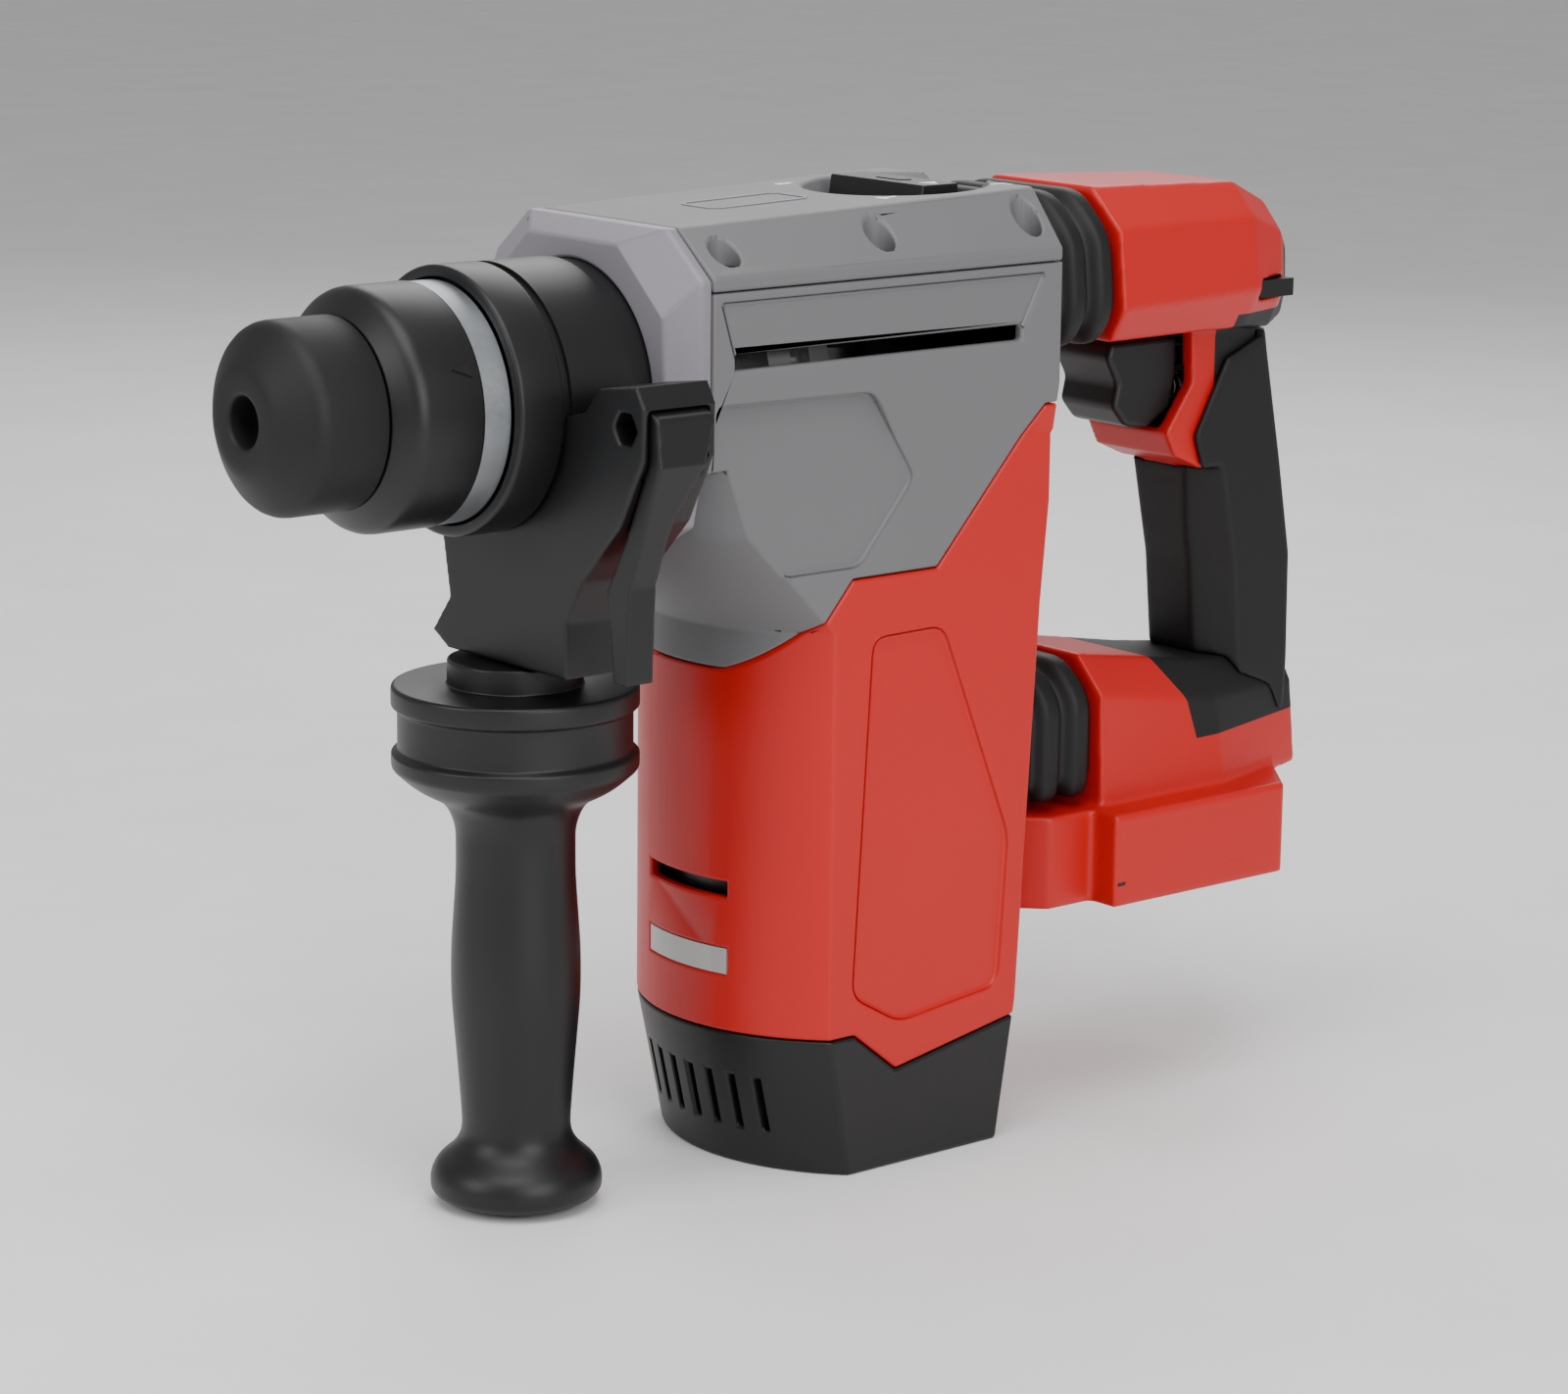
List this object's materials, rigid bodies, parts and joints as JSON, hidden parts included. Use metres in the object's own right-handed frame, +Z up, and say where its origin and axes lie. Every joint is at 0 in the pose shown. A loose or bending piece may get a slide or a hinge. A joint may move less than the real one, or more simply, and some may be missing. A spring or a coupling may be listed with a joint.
{
  "type": "rotary hammer",
  "caption": "Battery rotary hammer with an upright motor, a spring-damped D-handle, a mode dial, a quick-release bit holder and a clamped side handle.",
  "frame": {"origin": "on the spindle axis at the mouth of the bit bore, 8 mm behind the tip of the dust cap", "axes": "+X along the spindle towards the bit, +Y to the tool's left (the side of the depth-rod clamp), +Z up through the mode dial"},
  "size_m": [0.3308, 0.103, 0.2423],
  "materials": {
    "red_shell": "fine texture",
    "grey_shell": "fine texture",
    "front_casting": "satin",
    "black_plastic": "moulded",
    "black_rubber": "matt",
    "gear_steel": "ground",
    "dark_steel": "black oxide",
    "bright_ring": "satin",
    "bearing_steel": "polished",
    "cast_aluminium": "die cast",
    "copper": "lacquered wire",
    "clear_lens": "clear",
    "board": "solder mask",
    "grease_plastic": "moulded nylon"
  },
  "bodies": {
    "housing": {"front_collar": "black_plastic", "barrel_neck": "black_plastic", "front_housing": "front_casting", "top_cover": "grey_shell", "gear_housing": "grey_shell", "motor_housing": "red_shell", "motor_boot": "black_plastic", "led_lens": "clear_lens", "housing_screws": "dark_steel", "spindle_seal": "black_rubber", "spindle_bearing": "bearing_steel", "gearbox_frame": "cast_aluminium", "shaft_bearings": "bearing_steel", "stator": "dark_steel", "windings": "copper", "controller_board": "board", "upper_bellows": "black_rubber", "lower_bellows": "black_rubber", "damper_springs": "dark_steel", "damper_rods": "bearing_steel"},
    "spindle": {"tool_holder": "gear_steel", "holder_ring": "dark_steel", "locking_balls": "bearing_steel", "hammer_cylinder": "gear_steel", "bevel_ring": "gear_steel", "dust_cap": "black_rubber", "sleeve_spring": "bearing_steel"},
    "sleeve": {"locking_sleeve": "black_plastic", "sleeve_ring": "bright_ring"},
    "striker": {"striker": "gear_steel"},
    "ram": {"ram": "gear_steel", "ram_seal": "black_rubber"},
    "piston": {"piston": "cast_aluminium", "piston_seal": "black_rubber", "wrist_pin": "bearing_steel"},
    "rod": {"connecting_rod": "cast_aluminium", "crank_pin": "bearing_steel"},
    "crank": {"crankshaft": "gear_steel", "crank_gear": "gear_steel"},
    "layshaft": {"countershaft": "gear_steel", "countershaft_gear": "gear_steel"},
    "rotor": {"rotor_shaft": "gear_steel", "rotor_core": "dark_steel", "motor_fan": "black_plastic"},
    "dial": {"mode_dial": "black_plastic"},
    "dial_button": {"mode_button": "black_plastic"},
    "rear_handle": {"handle_left_shell": "red_shell", "handle_right_shell": "red_shell", "grip_overmould": "black_rubber", "handle_screws": "dark_steel", "switch_body": "black_plastic", "terminal_block": "grease_plastic", "trigger_spring": "bearing_steel"},
    "trigger": {"trigger": "black_plastic"},
    "selector": {"direction_selector": "black_plastic"},
    "side_clamp": {"clamp_body": "black_plastic", "clamp_band": "black_plastic"},
    "side_handle": {"side_grip": "black_plastic", "clamp_bolt": "dark_steel"},
    "depth_lever": {"depth_lever": "black_plastic"}
  },
  "joints": [
    {"name": "rotor_spin", "type": "hinge", "parent": "housing", "child": "rotor", "pos_m": [-0.152, 0, -0.08], "axis": [0, 0, 1], "continuous": true},
    {"name": "crank_spin", "type": "hinge", "parent": "housing", "child": "crank", "pos_m": [-0.1745, 0, -0.05], "axis": [0, 0, 1], "continuous": true},
    {"name": "countershaft_spin", "type": "hinge", "parent": "housing", "child": "layshaft", "pos_m": [-0.1355, 0, -0.05], "axis": [0, 0, 1], "continuous": true},
    {"name": "spindle_spin", "type": "hinge", "parent": "housing", "child": "spindle", "pos_m": [-0.06, 0, 0], "axis": [1, 0, 0], "continuous": true},
    {"name": "sleeve_slide", "type": "slide", "parent": "spindle", "child": "sleeve", "axis": [-1, 0, 0], "range_m": [0, 0.0055], "stiffness_N_per_m": 1500, "deforming": ["sleeve_spring"]},
    {"name": "striker_slide", "type": "slide", "parent": "spindle", "child": "striker", "axis": [1, 0, 0], "range_m": [0, 0.006]},
    {"name": "ram_slide", "type": "slide", "parent": "spindle", "child": "ram", "axis": [1, 0, 0], "range_m": [-0.002, 0.002]},
    {"name": "piston_slide", "type": "slide", "parent": "housing", "child": "piston", "axis": [-1, 0, 0], "range_m": [0, 0.022]},
    {"name": "rod_swing", "type": "hinge", "parent": "piston", "child": "rod", "pos_m": [-0.1255, 0, 0], "axis": [0, 0, 1], "range_deg": [-16.83, 16.83]},
    {"name": "dial_turn", "type": "hinge", "parent": "housing", "child": "dial", "pos_m": [-0.185, 0, 0.043], "axis": [0, 0, 1], "range_deg": [-135, 135]},
    {"name": "dial_button_press", "type": "slide", "parent": "dial", "child": "dial_button", "axis": [0, 0, -1], "range_m": [0, 0.0011], "stiffness_N_per_m": 600},
    {"name": "handle_damping", "type": "slide", "parent": "housing", "child": "rear_handle", "axis": [1, 0, 0], "range_m": [0, 0.004], "stiffness_N_per_m": 12000, "deforming": ["upper_bellows", "lower_bellows", "damper_springs"]},
    {"name": "trigger_pull", "type": "slide", "parent": "rear_handle", "child": "trigger", "axis": [-1, 0, 0], "range_m": [0, 0.007], "stiffness_N_per_m": 900, "deforming": ["trigger_spring"]},
    {"name": "selector_slide", "type": "slide", "parent": "rear_handle", "child": "selector", "axis": [0, 1, 0], "range_m": [-0.002, 0.002]},
    {"name": "clamp_swivel", "type": "hinge", "parent": "housing", "child": "side_clamp", "pos_m": [-0.0678, 0, 0], "axis": [1, 0, 0], "range_deg": [-90, 12]},
    {"name": "grip_twist", "type": "hinge", "parent": "side_clamp", "child": "side_handle", "pos_m": [-0.0678, 0, -0.09], "axis": [0, 0, 1], "continuous": true},
    {"name": "lever_press", "type": "hinge", "parent": "side_clamp", "child": "depth_lever", "pos_m": [-0.0678, 0.057, -0.009], "axis": [-1, 0, 0], "range_deg": [0, 2.5], "stiffness_Nm_per_rad": 1}
  ],
  "couplings": [
    {"joint": "crank_spin", "follows": "rotor_spin", "ratio": -0.21622},
    {"joint": "countershaft_spin", "follows": "rotor_spin", "ratio": -0.32},
    {"joint": "spindle_spin", "follows": "rotor_spin", "ratio": -0.056471}
  ]
}
